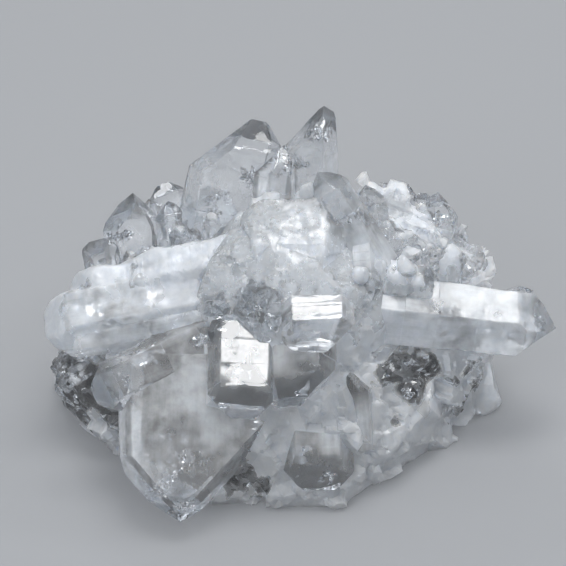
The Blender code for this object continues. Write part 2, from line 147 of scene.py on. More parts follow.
# Broken lumps of the foot: centre and radii in the upright frame, and how many flat breaks each has.
LUMPS = [
    ((-2, 3, 6), (30, 21, 19), 46),
    ((-21, 5, 7), (15, 14, 11), 30),
    ((20, 8, 8), (13, 12, 14), 30),
    ((2, -5, 2), (15, 15.4, 6.4), 34),
    ((1, 4.4, 18), (17, 15.4, 19.5), 54),
]

# Small points scattered over the far side of the heart: how many, and the ranges of their headings and widths.
BUD_COUNT = 26
BUD_HEADINGS = (10, 170)
BUD_WIDTHS = (2.4, 4.6)

# Crusts of tiny points along a line: name, line start and end, where they point, how many, and their spread.
CRUSTS = [
    ("right_slope_crust", (15, 30, 12), (29, 24.5, 10), (0.4, 0.5, 0.8), 12, 1.4),
    ("right_arm_crust", (12, 23, 19), (20, 24, 16), (0.2, 0.6, 0.8), 6, 1.2),
    ("crown_crust", (-5, 33, 15), (4, 36, 15), (0, 0.8, 0.4), 6, 1.6),
    ("left_back_crust", (-24, 26, 8), (-9, 31, 12), (-0.3, 0.9, 0.3), 10, 1.6),
]
CRUST_WIDTHS = (2.2, 3.6)
CRUST_REACHES = (0.5, 1.1)  # how far a tip stands out, in its own widths
CRUST_MILK = 0.7

# Broken ledges round the rim of the foot: how many, the rim's middle and radii, and the range of their sizes.
LEDGE_COUNT = 30
LEDGE_RIM = ((-1.5, 5.5), (31, 20.5))
LEDGE_SIZES = (2.2, 4.4)
LEDGE_HEIGHTS = (1, 8)
LEDGE_BREAKS = 14

# Growth bands, the stripes that run round the long faces of a quartz point: lengths along it, and step depths
BAND_LENGTHS = (2.2, 6.5)
BAND_DEPTH = 0.07
FINE_BAND_LENGTHS = (0.45, 1.4)
FINE_BAND_DEPTH = 0.06
FINELY_BANDED = {"crown_striped", "right_shelf", "front_high", "left_ridge"}
BAND_STEP = 0.05  # how much of the axis a step between two bands takes
EDGE_CLIP = 0.12  # how much of each face its clipped edge takes
END_CLIP = 0.05  # how deep the edges of the end faces are cut

BROKEN_MILK = 0.66
HEART_FROM = 24  # the height at which the broken foot gives way to the smoother milky heart
HEART_MILK = 0.6
BROKEN_GRAIN = 0.8  # the longest edge on a broken face
POINT_GRAIN = 1.5  # the longest edge on a point's face
SUGAR_GRAIN = 0.7  # the longest edge on a sugary point
SUGARY = {"right_slope", "right_slope_mid", "right_slope_high"}
MASSIVE_MILK = 0.6  # points at least as milky as this are rounded and uneven
MASSIVE_GRAIN = 0.9
MELTING = (3, 0.5)  # how often their corners move towards the middle of their neighbours, and how far
UNDERSIDE = 0.01
ROUNDING = 4.0  # how sharp the edges between breaks stay, in each millimetre
SHARP = math.radians(24)

# Cracks inside the quartz, where the photograph shows them glitter: pixel, spread in pixels, how many, and the
# range of their radii in millimetres.
CRACKS = [
    ((141, 298), 9, 9, (0.4, 1.1)),
    ((134, 322), 4, 3, (0.3, 0.7)),
    ((95, 318), 8, 4, (0.2, 0.5)),
    ((148, 354), 10, 8, (0.4, 1.1)),
    ((126, 379), 4, 4, (0.3, 0.8)),
    ((203, 342), 8, 9, (0.3, 0.9)),
    ((225, 325), 10, 6, (0.3, 0.7)),
    ((180, 450), 34, 26, (0.3, 0.9)),
    ((165, 485), 14, 12, (0.4, 1.1)),
    ((185, 512), 9, 8, (0.3, 0.9)),
    ((262, 436), 12, 10, (0.3, 0.9)),
    ((243, 372), 12, 6, (0.3, 0.8)),
    ((292, 395), 8, 6, (0.3, 0.9)),
    ((258, 308), 9, 6, (0.3, 0.8)),
    ((312, 352), 10, 5, (0.3, 0.8)),
    ((300, 455), 16, 12, (0.3, 1.0)),
    ((330, 470), 16, 10, (0.3, 0.9)),
    ((406, 392), 6, 5, (0.3, 0.7)),
    ((500, 325), 18, 18, (0.4, 1.3)),
    ((535, 322), 8, 7, (0.4, 1.0)),
    ((450, 322), 14, 8, (0.3, 0.8)),
    ((318, 132), 12, 20, (0.4, 1.2)),
    ((292, 160), 12, 16, (0.4, 1.1)),
    ((250, 176), 14, 10, (0.4, 1.2)),
    ((215, 205), 12, 8, (0.4, 1.0)),
    ((120, 235), 12, 8, (0.3, 1.0)),
    ((176, 220), 12, 8, (0.3, 0.9)),
    ((446, 215), 10, 10, (0.3, 0.9)),
    ((398, 205), 12, 6, (0.3, 0.9)),
    ((430, 245), 16, 4, (0.3, 0.8)),
    ((470, 268), 12, 3, (0.3, 0.8)),
    ((350, 215), 12, 6, (0.3, 0.8)),
]
WINDOW = (1.6, 4.2)  # from how near to how far from such a place the quartz is clearer
FAR_CRACKS = 110

# Where the foot is clear and dark in the photograph, partly clearer quartz and partly painted shade where it lies under
# the arms: pixel, and radius in pixels
CLEAR_AND_PAINTED_SHADE_FOOT = [((78, 385), 48), ((408, 372), 38), ((475, 385), 16), ((250, 480), 22), ((130, 400), 40)]
CRACK_GAP = 0.03
CRACK_SHARE = 2


def upright(place):
    """The upright-frame place of one given as (across, up, toward)."""
    across, up, toward = place
    sine, cosine = math.sin(VIEW_TILT), math.cos(VIEW_TILT)
    return Vector((across, up * sine - toward * cosine, up * cosine + toward * sine))


def toward_compass(heading, pitch):
    """The unit direction of a heading and a pitch in degrees."""
    turn, rise = math.radians(heading), math.radians(pitch)
    return Vector((math.cos(turn) * math.cos(rise), math.sin(turn) * math.cos(rise), math.sin(rise)))


def cut_along(solid, planes):
    """Cuts a closed bmesh along planes of (point, outward normal) and closes it again."""
    for point, normal in planes:
        geometry = solid.verts[:] + solid.edges[:] + solid.faces[:]
        cut = bmesh.ops.bisect_plane(
            solid, geom=geometry, dist=1e-6, plane_co=point, plane_no=normal, clear_outer=True
        )
        rim = [item for item in cut["geom_cut"] if isinstance(item, bmesh.types.BMEdge)]
        if rim:
            bmesh.ops.holes_fill(solid, edges=rim, sides=0)


def closed(solid):
    """The same bmesh if it is closed, and otherwise the hull of its corners."""
    if all(edge.is_manifold for edge in solid.edges):
        return solid
    hull = bmesh.new()
    for vert in solid.verts:
        hull.verts.new(vert.co)
    solid.free()
    bmesh.ops.remove_doubles(hull, verts=hull.verts, dist=0.002)
    made = bmesh.ops.convex_hull(hull, input=hull.verts)
    inner = [item for item in made["geom_interior"] if isinstance(item, bmesh.types.BMVert)]
    bmesh.ops.delete(hull, geom=inner, context="VERTS")
    return hull


def clipping_planes(planes, depth):
    """The planes that take the sharp edge off each pair of planes."""
    clips = []
    for first, (point_a, normal_a) in enumerate(planes):
        for point_b, normal_b in planes[first + 1:]:
            both = normal_a + normal_b
            if both.length < 0.3:
                continue
            reach = (point_a.dot(normal_a) + point_b.dot(normal_b)) / both.length - depth
            clip = both.normalized()
            clips.append((clip * reach, clip))
    return clips


class Shape:
    """One point or lump before the join: its mesh, its flat faces and what the material needs to know."""

    def __init__(self, name, solid, planes, milk, tip=None, axis=None, side=None, length=1.0, width=1.0):
        self.name = name
        self.solid = solid
        self.normals = np.array([normal for _, normal in planes])
        self.reaches = np.array([point.dot(normal) for point, normal in planes])
        self.milk = milk
        self.tip = tip
        self.axis = axis
        self.side = side
        self.length = length
        self.width = width

    def depth_of(self, places):
        """How far places lie outside the shape, less than 0 inside."""
        return (places @ self.normals.T - self.reaches).max(axis=1)


def section(distances, clip):
    """The twelve corners of a hexagonal section with its corners clipped, as pairs along side and front."""
    turns = [math.radians(90 + 60 * step) for step in range(6)]
    normals = [Vector((math.cos(turn), math.sin(turn))) for turn in turns]
    corners = []
    for step in range(6):
        after = (step + 1) % 6
        near, far = distances[step], distances[after]
        corners.append(normals[step] * ((near - far / 2) * 4 / 3) + normals[after] * ((far - near / 2) * 4 / 3))
    points = []
    for step in range(6):
        start, end = corners[step - 1], corners[step]
        length = (end - start).length
        share = min(clip / max(length, 1e-6), 0.3)
        points.append(start.lerp(end, share))
        points.append(start.lerp(end, 1 - share))
    return points


def growth_bands(name, length, size, chance):
    """Where the growth bands lie along a point, from its middle, and how far each long face stands out there."""
    fine = name in FINELY_BANDED
    lengths, depth = (FINE_BAND_LENGTHS, FINE_BAND_DEPTH) if fine else (BAND_LENGTHS, BAND_DEPTH)
    rings = []
    start = -length / 2
    end = length / 2 + size
    while start < end:
        stop = min(start + chance.uniform(*lengths) * (0.4 + size / 14), end)
        stop = max(stop, start + 2 * BAND_STEP)
        first = [chance.uniform(-1, 0.6) * depth for _ in range(6)]
        last = [offset + chance.uniform(-0.8, 0.8) * depth for offset in first]
        rings.append((start + BAND_STEP / 2, first))
        rings.append((stop - BAND_STEP / 2, last))
        start = stop
    return rings


def crystal_shape(name, tip, root, width, thickness, look, off_middle, ends, milk, chance, look_chance):
    """One quartz point: six long faces with growth bands and six end faces of unequal size."""
    shoulders = [share * chance.uniform(0.6, 1.4) for share in ends]
    rough_axis = (tip - root).normalized()
    side = rough_axis.cross(look).normalized()
    centre = tip - side * off_middle
    axis = (centre - root).normalized()
    front = (look - axis * look.dot(axis)).normalized()
    side = axis.cross(front)
    middle = (centre + root) / 2
    corner_flat = width / 2 * math.cos(math.radians(30))
    long_planes, end_planes, distances = [], [], []
    for step in range(6):
        angle = math.radians(90 + 60 * step)
        radial = side * math.cos(angle) + front * math.sin(angle)
        distances.append(thickness / 2 if step % 3 == 0 else corner_flat)
        long_face = (radial * math.cos(TAPER) + axis * math.sin(TAPER)).normalized()
        long_planes.append((middle + radial * distances[-1], long_face))
        end_face = (radial * math.sin(RHOMB_ANGLE) + axis * math.cos(RHOMB_ANGLE)).normalized()
        end_planes.append((tip + end_face * shoulders[step] * width, end_face))

    length = (centre - root).length
    solid = bmesh.new()
    rings = []
    for place, offsets in growth_bands(name, length, min(width, thickness * 1.4), look_chance):
        shrink = place * math.tan(TAPER)
        sides = [distance - shrink + offset for distance, offset in zip(distances, offsets)]
        rings.append([
            solid.verts.new(middle + axis * place + side * along_side + front * along_front)
            for along_side, along_front in section(sides, EDGE_CLIP)
        ])
    for below, above in zip(rings, rings[1:]):
        for number in range(12):
            after = (number + 1) % 12
            solid.faces.new((below[number], below[after], above[after], above[number]))
    solid.faces.new(rings[0])
    solid.faces.new(rings[-1])
    clips = clipping_planes(end_planes, END_CLIP) + [
        clip for end, long in zip(end_planes, long_planes) for clip in clipping_planes([end, long], END_CLIP)
    ]
    cut_along(solid, end_planes + clips)
    solid = closed(solid)
    bmesh.ops.recalc_face_normals(solid, faces=solid.faces)
    planes = [(root, -axis)] + long_planes + end_planes
    return Shape(name, solid, planes, milk, tip, axis, side, length, width)


def lump_shape(name, middle, radii, breaks, chance):
    """A broken lump: an egg shape cut all over by flat breaks, and cut flat at z = 0 underneath."""
    planes = [(Vector((0, 0, 0)), Vector((0, 0, -1)))]
    golden_turn = math.pi * (3 - math.sqrt(5))
    for step in range(breaks):
        height = 1 - 2 * (step + 0.5) / breaks
        ring = math.sqrt(1 - height * height)
        turn = step * golden_turn + chance.uniform(-0.3, 0.3)
        normal = Vector((ring * math.cos(turn), ring * math.sin(turn), height)).normalized()
        on_egg = Vector(r * r * n for r, n in zip(radii, normal))
        reach = math.sqrt(sum((r * n) ** 2 for r, n in zip(radii, normal)))
        planes.append((middle + on_egg / reach * chance.uniform(0.94, 1.0), normal))
    solid = bmesh.new()
    bmesh.ops.create_cube(solid, size=4 * max(radii))
    bmesh.ops.translate(solid, verts=solid.verts, vec=middle)
    cut_along(solid, planes)
    bmesh.ops.recalc_face_normals(solid, faces=solid.faces)
    return Shape(name, solid, planes, BROKEN_MILK)


def named_points(chance, look_chance):
    for name, tip, root, width, thickness, look, off_middle, ends, milk in POINTS:
        places = [upright(place) for place in (tip, root)]
        yield crystal_shape(
            name, *places, width, thickness, upright(look), off_middle, ends, milk, chance, look_chance
        )


def far_points(chance, look_chance):
    for name, heading, pitch, length, width, thickness in FAR_POINTS:
        direction = toward_compass(heading, pitch)
        tip = HEART + direction * length
        root = HEART + direction * 4
        look = Vector((chance.uniform(-0.4, 0.4), 0, 1))
        ends = chance.choice((FRONT_LED, SIDES_LED, ROOF))
        milk = look_chance.uniform(*FAR_MILK)
        yield crystal_shape(name, tip, root, width, thickness, look, 0, ends, milk, chance, look_chance)


def buds(chance, look_chance):
    """Small points that stand a little way out of the heart between the large ones of the far side."""
    for number in range(BUD_COUNT):
        share = number / (BUD_COUNT - 1)
        heading = BUD_HEADINGS[0] + share * (BUD_HEADINGS[1] - BUD_HEADINGS[0]) + chance.uniform(-6, 6)
        direction = toward_compass(heading, chance.uniform(-5, 40))
        foot = HEART + Vector((direction.x * 20, direction.y * 9, direction.z * 4))
        width = chance.uniform(*BUD_WIDTHS)
        tip = foot + direction * chance.uniform(8, 13)
        look = Vector((chance.uniform(-1, 1), -0.5, 1))
        milk = look_chance.uniform(*FAR_MILK)
        name = f"bud_{number:02d}"
        yield crystal_shape(name, tip, foot, width, width * 0.8, look, 0, SIDES_LED, milk, chance, look_chance)


def crusts(chance, look_chance):
    """Tiny points that cover a stretch of the cluster between larger ones."""
    for name, start, end, facing, count, spread in CRUSTS:
        for number in range(count):
            share = (number + 0.5) / count
            foot = upright(start).lerp(upright(end), share)
            foot += Vector(chance.uniform(-spread, spread) for _ in range(3))
            direction = upright(facing).normalized() + Vector(chance.uniform(-0.5, 0.5) for _ in range(3))
            direction.normalize()
            width = chance.uniform(*CRUST_WIDTHS)
            look = Vector((chance.uniform(-1, 1), -1, 0.6))
            tip = foot + direction * width * chance.uniform(*CRUST_REACHES)
            root = foot - direction * width * 1.5
            one = f"{name}_{number:02d}"
            yield crystal_shape(
                one, tip, root, width, width * 0.8, look, 0, SIDES_LED, CRUST_MILK, chance, look_chance
            )


def foot_lumps(chance):
    for number, (middle, radii, breaks) in enumerate(LUMPS):
        yield lump_shape(f"foot_lump_{number}", Vector(middle), radii, breaks, chance)


def foot_ledges(chance):
    """Small broken blocks that make the rim of the foot uneven."""
    (middle_x, middle_y), (radius_x, radius_y) = LEDGE_RIM
    for number in range(LEDGE_COUNT):
        turn = (number + chance.uniform(-0.3, 0.3)) * 2 * math.pi / LEDGE_COUNT
        reach = chance.uniform(0.84, 0.97)
        middle = Vector((
            middle_x + radius_x * reach * math.cos(turn),
            middle_y + radius_y * reach * math.sin(turn),
            chance.uniform(*LEDGE_HEIGHTS),
        ))
        radii = [chance.uniform(*LEDGE_SIZES) for _ in range(3)]
        yield lump_shape(f"foot_ledge_{number:02d}", middle, radii, LEDGE_BREAKS, chance)


def all_shapes():
    """Every point and lump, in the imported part's order, so that the same draws give the same shapes."""
    chance = random.Random(7)
    look_chance = random.Random(11)
    shapes = list(foot_lumps(chance))
    for kind in (named_points, far_points, buds, crusts):
        shapes.extend(kind(chance, look_chance))
    shapes.extend(foot_ledges(chance))
    return shapes


def mesh_object(name, solid):
    mesh = bpy.data.meshes.new(name)
    solid.to_mesh(mesh)
    solid.free()
    return bpy.data.objects.new(name, mesh)


def boolean_mesh(target, operation, operand):
    """Runs one Boolean against an object or a collection and keeps its result as the object's mesh."""
    boolean = target.modifiers.new(operation.title(), "BOOLEAN")
    boolean.operation = operation
    boolean.solver = "EXACT"
    if isinstance(operand, bpy.types.Collection):
        boolean.operand_type = "COLLECTION"
        boolean.collection = operand
    else:
        boolean.object = operand
    bpy.context.view_layer.update()
    evaluated = target.evaluated_get(bpy.context.evaluated_depsgraph_get())
    joined = bpy.data.meshes.new_from_object(evaluated)
    target.modifiers.clear()
    target.data = joined


def joined_shapes(shapes):
    """One object of all shapes, cut flat at z = 0. It is in millimetres in the layout's own frame."""
    helpers = bpy.data.collections.new("grown_together")
    bpy.context.scene.collection.children.link(helpers)
    grown = [mesh_object(shape.name, shape.solid) for shape in shapes]
    first, rest = grown[0], grown[1:]
    for piece in rest:
        helpers.objects.link(piece)
    block = bmesh.new()
    bmesh.ops.create_cube(block, size=200)
    bmesh.ops.translate(block, verts=block.verts, vec=(0, 0, -100))
    trim = mesh_object("floor_trim", block)
    bpy.context.scene.collection.objects.link(first)
    bpy.context.scene.collection.objects.link(trim)
    boolean_mesh(first, "UNION", helpers)
    boolean_mesh(first, "DIFFERENCE", trim)
    for helper in rest + [trim]:
        bpy.data.objects.remove(helper)
    bpy.data.collections.remove(helpers)
    return first


def keep_outer_skin(solid):
    """Fills any sealed pocket between crystals: only the largest connected skin is kept."""
    unseen = set(solid.faces)
    shells = []
    while unseen:
        front = [unseen.pop()]
        shell = list(front)
        while front:
            face = front.pop()
            near = {other for edge in face.edges for other in edge.link_faces if other in unseen}
            unseen -= near
            front.extend(near)
            shell.extend(near)
        shells.append(shell)
    largest = max(shells, key=lambda shell: sum(face.calc_area() for face in shell))
    inner = [face for shell in shells if shell is not largest for face in shell]
    bmesh.ops.delete(solid, geom=inner, context="FACES")


def place_camera(middle):
    """The camera of the photograph: its middle is PICTURE_MIDDLE_UP up the tilted plane."""
    target = (upright((0, PICTURE_MIDDLE_UP, 0)) - middle) * MM
    back = upright((0, 0, 1))
    data = bpy.data.cameras.new("photo_camera")
    camera = bpy.data.objects.new("photo_camera", data)
    bpy.context.scene.collection.objects.link(camera)
    camera.location = target + back * CAMERA_DISTANCE * MM
    camera.rotation_euler = (-back).to_track_quat("-Z", "Y").to_euler()
    data.sensor_width = SENSOR
    data.lens = SENSOR * CAMERA_DISTANCE / (PHOTO_PIXELS * PIXEL)
    data.clip_start = 0.01
    bpy.context.scene.camera = camera


def owners_of(solid, shapes):
    """The number of the shape on whose surface each face of the joined cluster lies."""
    middles = np.array([face.calc_center_median() for face in solid.faces])
    nearest = np.full(len(middles), np.inf)
    owners = np.zeros(len(middles), int)
    for number, shape in enumerate(shapes):
        gap = np.abs(shape.depth_of(middles))
        closer = gap < nearest
        nearest[closer] = gap[closer]
        owners[closer] = number
    return owners


def is_broken(shape):
    return shape.tip is None


def is_massive(shape):
    return not is_broken(shape) and shape.milk >= MASSIVE_MILK


def grain_of(shape):
    """The longest edge on a shape's faces."""
    if is_broken(shape):
        return BROKEN_GRAIN
    if shape.name in SUGARY:
        return SUGAR_GRAIN
    return MASSIVE_GRAIN if is_massive(shape) else POINT_GRAIN


def facets(place, size):
    """The height of a surface that is broken into small flat facets, each tilted its own way."""
    _, sites = noise.voronoi(place / size)
    return noise.noise_vector(sites[0] * 5.1).dot(place / size - sites[0]) * size


def triangulate(solid):
    """Makes all faces triangles, and deletes pairs with the same corners, which lie back to back."""
    bmesh.ops.triangulate(solid, faces=[face for face in solid.faces if len(face.verts) > 3])
    same_corners = {}
    for face in solid.faces:
        same_corners.setdefault(frozenset(face.verts), []).append(face)
    doubled = [face for faces in same_corners.values() for face in faces[len(faces) % 2:]]
    bmesh.ops.delete(solid, geom=doubled, context="FACES")


def split_faces(solid, number_layer, shapes):
    """Cuts all faces into small triangles, finer on the broken foot, so that they can get their relief."""
    grains = [grain_of(shape) for shape in shapes]

    def small_enough(edge):
        return edge.calc_length() <= min(grains[face[number_layer]] for face in edge.link_faces)

    triangulate(solid)
    for _ in range(8):
        long_edges = [
            edge for edge in solid.edges
            if not small_enough(edge) and max(vert.co.z for vert in edge.verts) > UNDERSIDE
        ]
        if not long_edges:
            break
        bmesh.ops.subdivide_edges(solid, edges=long_edges, cuts=1)
        triangulate(solid)


def melt(solid, number_layer, shapes):
    """Rounds the edges and steps of the massive milky points, and returns their corners."""
    massive = {
        vert for vert in solid.verts
        if vert.co.z > UNDERSIDE and all(is_massive(shapes[face[number_layer]]) for face in vert.link_faces)
    }
    rounds, share = MELTING
    for _ in range(rounds):
        bmesh.ops.smooth_vert(
            solid, verts=list(massive), factor=share, use_axis_x=True, use_axis_y=True, use_axis_z=True
        )
    return massive


def give_relief(solid, number_layer, shapes):
    """Rounds and roughens the broken foot, and makes the faces and edges of the points a little uneven."""
    massive = melt(solid, number_layer, shapes)
    solid.normal_update()
    points, foot = [], []
    for vert in solid.verts:
        if vert.co.z <= UNDERSIDE:
            continue
        broken = all(is_broken(shapes[face[number_layer]]) for face in vert.link_faces)
        (foot if broken else points).append(vert)

    for vert in points:
        place = vert.co
        relief = (
            noise.fractal(place * 0.16, 1.0, 2.0, 2) * 0.16
            + noise.fractal(place * 0.55 + Vector((3, 0, 0)), 1.0, 2.0, 2) * 0.06
        )
        if vert in massive:
            relief += noise.fractal(place * 0.13 + Vector((0, 7, 0)), 1.0, 2.0, 3) * 0.7
            relief += noise.fractal(place * 0.7 + Vector((0, 0, 5)), 0.8, 2.0, 3) * 0.12
        if all(shapes[face[number_layer]].name in SUGARY for face in vert.link_faces):
            relief += facets(place, 4) * 1.1 + facets(place, 1.6) * 0.5 - 0.2
        vert.co = place + vert.normal * relief * min(vert.co.z / 0.8, 1)

    places = np.array([vert.co for vert in foot])
    clear = np.full(len(places), np.inf)
    for shape in shapes:
        if not is_broken(shape):
            clear = np.minimum(clear, shape.depth_of(places))
    owner = np.array([vert.link_faces[0][number_layer] for vert in foot])
    rounded = np.zeros(len(places))
    for number in set(owner):
        chosen = owner == number
        shape = shapes[number]
        depths = places[chosen] @ shape.normals.T - shape.reaches
        rounded[chosen] = np.log(np.exp(depths * ROUNDING).sum(axis=1)) / ROUNDING
    for vert, gap, cut_back in zip(foot, clear, rounded):
        fade = min(max(gap / 1.2, 0), 1) * min(vert.co.z / 0.8, 1)
        place = vert.co
        rough = min(max((24 - place.z) / 8, 0.3), 1)
        relief = (
            noise.fractal(place * 0.28, 1.0, 2.0, 3) * 0.4
            + noise.fractal(place * 1.1 + Vector((9, 0, 0)), 0.9, 2.0, 3) * 0.12
            + (facets(place, 5) * 1.0 + facets(place + Vector((4, 0, 0)), 1.8) * 0.45) * rough
            - abs(noise.noise(place * 0.6 + Vector((0, 5, 0)))) * 0.25
        )
        vert.co = place + vert.normal * (relief - min(max(cut_back, 0), 1.2)) * fade
        vert.co.z = max(vert.co.z, 0)


def add_crack(solid, middle, facing, radius, chance):
    """A crumpled, thin, closed gap inside the quartz, with its skin facing into the gap."""
    across = facing.orthogonal().normalized()
    turned = facing.cross(across)
    spokes = chance.choice((6, 7, 8))
    squeeze = chance.uniform(0.4, 1)
    start = chance.uniform(0, math.pi)
    rim, ring = [], []
    for spoke in range(spokes):
        turn = start + 2 * math.pi * (spoke + chance.uniform(-0.25, 0.25)) / spokes
        ray = (across * math.cos(turn) + turned * math.sin(turn) * squeeze) * radius
        rim.append(ray * chance.uniform(0.65, 1.15) + facing * chance.uniform(-0.2, 0.2) * radius)
        ring.append(ray * chance.uniform(0.35, 0.6) + facing * chance.uniform(-0.22, 0.22) * radius)
    centre = facing * chance.uniform(-0.2, 0.2) * radius
    rim_verts = [solid.verts.new(middle + place) for place in rim]
    made = []
    for sign in (1, -1):
        lift = facing * sign * CRACK_GAP
        ring_verts = [solid.verts.new(middle + place + lift) for place in ring]
        centre_vert = solid.verts.new(middle + centre + lift)
        for spoke in range(spokes):
            after = (spoke + 1) % spokes
            # Facing into the gap is away from the quartz
            for corners in (
                (rim_verts[spoke], rim_verts[after], ring_verts[after]),
                (rim_verts[spoke], ring_verts[after], ring_verts[spoke]),
                (ring_verts[spoke], ring_verts[after], centre_vert),
            ):
                made.append(solid.faces.new(corners if sign < 0 else corners[::-1]))
    return made


def deep_enough(places, points):
    """True if places are all well inside the quartz."""
    inside = np.min([shape.depth_of(places) for shape in points], axis=0)
    return inside.max() < -0.2


def crack_places(solid, shapes, chance):
    """Where cracks lie, and their radii: first those that the photograph shows, then some on the far side."""
    skin = BVHTree.FromBMesh(solid)
    toward_eye = upright((0, 0, 1))
    eye = upright((0, PICTURE_MIDDLE_UP, CAMERA_DISTANCE))
    for (x, y), spread, count, radii in CRACKS:
        for _ in range(count * CRACK_SHARE):
            across = (x + chance.gauss(0, spread / 2) - PHOTO_PIXELS / 2) * PIXEL
            up = PICTURE_MIDDLE_UP + (PHOTO_PIXELS / 2 - y - chance.gauss(0, spread / 2)) * PIXEL
            heading = (upright((across, up, 0)) - eye).normalized()
            found, normal, _, _ = skin.ray_cast(eye, heading)
            if found:
                yield found + heading * chance.uniform(0.6, 3.4), chance.uniform(*radii) * 1.5
    far = [shape for shape in shapes if shape.name.startswith(("back_", "left_back", "right_s"))]
    for _ in range(FAR_CRACKS):
        shape = chance.choice(far)
        middle = shape.tip - shape.axis * chance.uniform(0.1, 0.7) * shape.length
        yield middle + Vector(chance.uniform(-0.3, 0.3) for _ in range(3)) * shape.width, chance.uniform(0.3, 1.1)


def add_cracks(solid, shapes, chance):
    """Puts the cracks in, each well under the faces of one of the points or lumps."""
    faces = []
    middles = []
    for middle, radius in list(crack_places(solid, shapes, chance)):
        facing = Vector(chance.gauss(0, 1) for _ in range(3)).normalized()
        across = facing.orthogonal().normalized() * radius * 1.3
        turned = facing.cross(across)
        probes = np.array([
            middle + across * math.cos(turn) + turned * math.sin(turn) for turn in range(6)
        ])
        if deep_enough(probes, shapes):
            faces.extend(add_crack(solid, middle, facing, radius, chance))
            middles.append(middle)
    print("cracks", len(middles))
    return faces, middles


def is_heart(place):
    """True on the smooth milky middle above the broken foot."""
    return place.z + noise.noise(place * 0.3) * 4 > HEART_FROM


def picture_place(place):
    """The pixel of the photograph at which a place shows."""
    across = place.x
    sine, cosine = math.sin(VIEW_TILT), math.cos(VIEW_TILT)
    up = place.y * sine + place.z * cosine
    toward = place.z * sine - place.y * cosine
    nearer = CAMERA_DISTANCE / (CAMERA_DISTANCE - toward) / PIXEL
    return Vector((PHOTO_PIXELS / 2 + across * nearer, PHOTO_PIXELS / 2 - (up - PICTURE_MIDDLE_UP) * nearer))


def foot_clearness_and_painted_shade(place):
    """How clear the broken foot is here, and how much painted shade from under the arms darkens it, from 0 to 1."""
    pixel = picture_place(place)
    pixel.x += noise.noise(place * 0.22) * 34 + noise.noise(place * 0.9) * 9
    pixel.y += noise.noise(place * 0.22 + Vector((0, 0, 9))) * 34 + noise.noise(place * 0.9 + Vector((0, 0, 9))) * 9
    shares = [1 - (pixel - Vector(middle)).length / radius for middle, radius in CLEAR_AND_PAINTED_SHADE_FOOT]
    return min(max(max(shares) * 1.1, 0), 0.85)


def dress_mesh(cluster, shapes):
    """Roughens the foot, adds the healed cracks and writes what the materials read."""
    solid = bmesh.new()
    solid.from_mesh(cluster.data)
    keep_outer_skin(solid)
    number_layer = solid.faces.layers.int.new("shape_number")
    for face, number in zip(solid.faces, owners_of(solid, shapes)):
        face[number_layer] = number
    split_faces(solid, number_layer, shapes)
    print("split", len(solid.faces))
    give_relief(solid, number_layer, shapes)
    solid.normal_update()
    for face in solid.faces:
        broken = is_broken(shapes[face[number_layer]])
        face.material_index = 1 if broken and not is_heart(face.calc_center_median()) else 0
        face.smooth = True
    for edge in solid.edges:
        edge.smooth = edge.is_manifold and abs(edge.calc_face_angle(0)) < SHARP
    cracks, crack_middles = add_cracks(solid, shapes, random.Random(5))
    for face in cracks:
        face[number_layer] = -1
        face.material_index = 2
        face.smooth = False
    windows = KDTree(len(crack_middles))
    for number, place in enumerate(crack_middles):
        windows.insert(place, number)
    windows.balance()
    milk = solid.loops.layers.float.new("milk")
    tip_gap = solid.loops.layers.float.new("tip_gap")
    growth = solid.loops.layers.float.new("growth")
    local = solid.loops.layers.float_vector.new("grown")
    for face in solid.faces:
        number = face[number_layer]
        if number < 0:
            continue
        shape = shapes[number]
        for loop in face.loops:
            gap = windows.find(loop.vert.co)[2] + noise.noise(loop.vert.co * 0.7) * 1.6
            clouded = min(max((gap - WINDOW[0]) / (WINDOW[1] - WINDOW[0]), 0), 1)
            clearest = 0.5 if is_massive(shape) else 0.3
            loop[milk] = shape.milk * (clearest + (1 - clearest) * clouded)
            if is_broken(shape):
                # Painted shade: less milk makes the foot darker and clearer where it lies under the arms
                loop[milk] = shape.milk * (1 - foot_clearness_and_painted_shade(loop.vert.co))
                if face.material_index == 0:
                    loop[milk] = HEART_MILK * (0.6 + 0.4 * clouded)
            if not is_broken(shape):
                away = shape.tip - loop.vert.co
                loop[tip_gap] = away.dot(shape.axis)
                loop[local] = (away.dot(shape.side), away.dot(shape.axis.cross(shape.side)), away.dot(shape.axis))
                loop[growth] = 1 if abs(face.normal.dot(shape.axis)) < 0.3 else 0
    places = np.array([vert.co for vert in solid.verts])
    middle = Vector((places.min(axis=0) + places.max(axis=0)) / 2)
    middle.z = 0
    bmesh.ops.translate(solid, verts=solid.verts, vec=-middle)
    bmesh.ops.scale(solid, verts=solid.verts, vec=(MM, MM, MM))
    solid.to_mesh(cluster.data)
    solid.free()
    return middle


